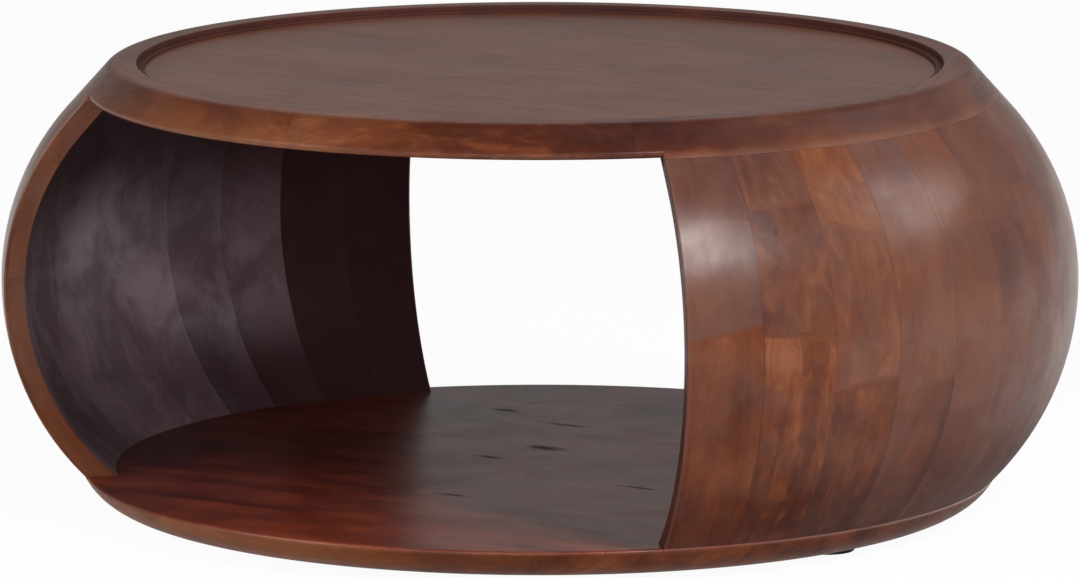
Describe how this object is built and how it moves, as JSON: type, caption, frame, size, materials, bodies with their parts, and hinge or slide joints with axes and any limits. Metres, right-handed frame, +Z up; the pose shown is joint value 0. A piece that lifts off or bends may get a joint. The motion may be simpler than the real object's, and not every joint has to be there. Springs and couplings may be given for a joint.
{
  "type": "drum coffee table",
  "caption": "Round wooden drum table: two curved stave shells between a disc base and a rimmed tray top, open front and back.",
  "frame": {"origin": "on the floor, under the middle of the table", "axes": "+Z up, +X from the middle towards the right-hand shell, -Y out of the front opening"},
  "size_m": [1, 0.8486, 0.4145],
  "materials": {
    "stave_wood": "reddish-brown stained hardwood, satin lacquer",
    "rim_wood": "reddish-brown stained hardwood, satin lacquer",
    "panel_wood": "dark brown stained hardwood, satin lacquer",
    "base_wood": "dark red-brown stained hardwood, semi-gloss lacquer",
    "dowel_wood": "raw beech",
    "foot_rubber": "matt black",
    "screw_steel": "zinc plated"
  },
  "bodies": {
    "root": {"base_board_1": "base_wood", "base_board_2": "base_wood", "base_board_3": "base_wood", "base_board_4": "base_wood", "base_board_5": "base_wood", "base_board_6": "base_wood", "base_board_7": "base_wood", "base_board_8": "base_wood", "base_dowels": "dowel_wood", "foot_1": "foot_rubber", "foot_2": "foot_rubber", "foot_3": "foot_rubber", "foot_screws": "screw_steel", "left_stave_1": "stave_wood", "left_stave_10": "stave_wood", "left_stave_2": "stave_wood", "left_stave_3": "stave_wood", "left_stave_4": "stave_wood", "left_stave_5": "stave_wood", "left_stave_6": "stave_wood", "left_stave_7": "stave_wood", "left_stave_8": "stave_wood", "left_stave_9": "stave_wood", "right_stave_1": "stave_wood", "right_stave_10": "stave_wood", "right_stave_2": "stave_wood", "right_stave_3": "stave_wood", "right_stave_4": "stave_wood", "right_stave_5": "stave_wood", "right_stave_6": "stave_wood", "right_stave_7": "stave_wood", "right_stave_8": "stave_wood", "right_stave_9": "stave_wood", "rim_joint_dowels": "dowel_wood", "rim_segment_1": "rim_wood", "rim_segment_2": "rim_wood", "rim_segment_3": "rim_wood", "rim_segment_4": "rim_wood", "rim_segment_5": "rim_wood", "rim_segment_6": "rim_wood", "rim_segment_7": "rim_wood", "rim_segment_8": "rim_wood", "rim_to_stave_dowels": "dowel_wood", "top_board_1": "panel_wood", "top_board_2": "panel_wood", "top_board_3": "panel_wood", "top_board_4": "panel_wood", "top_board_5": "panel_wood", "top_board_6": "panel_wood", "top_board_7": "panel_wood", "top_board_8": "panel_wood"}
  },
  "joints": []
}
